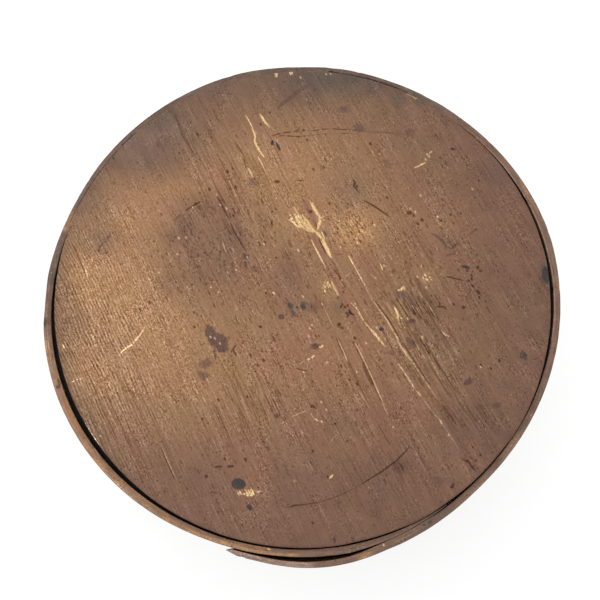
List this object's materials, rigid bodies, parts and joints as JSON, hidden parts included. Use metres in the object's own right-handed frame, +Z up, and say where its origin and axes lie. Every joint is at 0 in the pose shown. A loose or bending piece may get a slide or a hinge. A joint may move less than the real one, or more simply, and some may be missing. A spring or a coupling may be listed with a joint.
{
  "type": "bentwood pantry box",
  "caption": "Round lidded bentwood box: bent wood bands with skived, tacked laps around flat wood boards, and a deep lid that lifts off. For storing dry food.",
  "frame": {"origin": "centre of the underside of the bottom board, on the surface that the box stands on", "axes": "+Z up through the lid, +X to the right and -Y to the front, where the laps of both bands lie"},
  "size_m": [0.2521, 0.2537, 0.108],
  "materials": {
    "lid_wood": "bare softwood board, darkened by age and handling, with saw marks and splinters",
    "band_wood": "bare bent hardwood strip, worn tan on its edges",
    "bottom_wood": "bare softwood board, paler than the lid",
    "iron": "hand-made iron nails, dark brown with rust"
  },
  "bodies": {
    "box": {"side_band": "band_wood", "side_lap_end_tacks": "iron", "side_lap_root_tacks": "iron", "bottom_board": "bottom_wood", "bottom_brads": "iron"},
    "lid": {"lid_board": "lid_wood", "lid_band": "band_wood", "lid_lap_end_tacks": "iron", "lid_lap_root_tacks": "iron", "lid_brads": "iron"}
  },
  "joints": [
    {"name": "lid_lift", "type": "slide", "parent": "box", "child": "lid", "axis": [0, 0, 1], "range_m": [0, 0.13]}
  ]
}
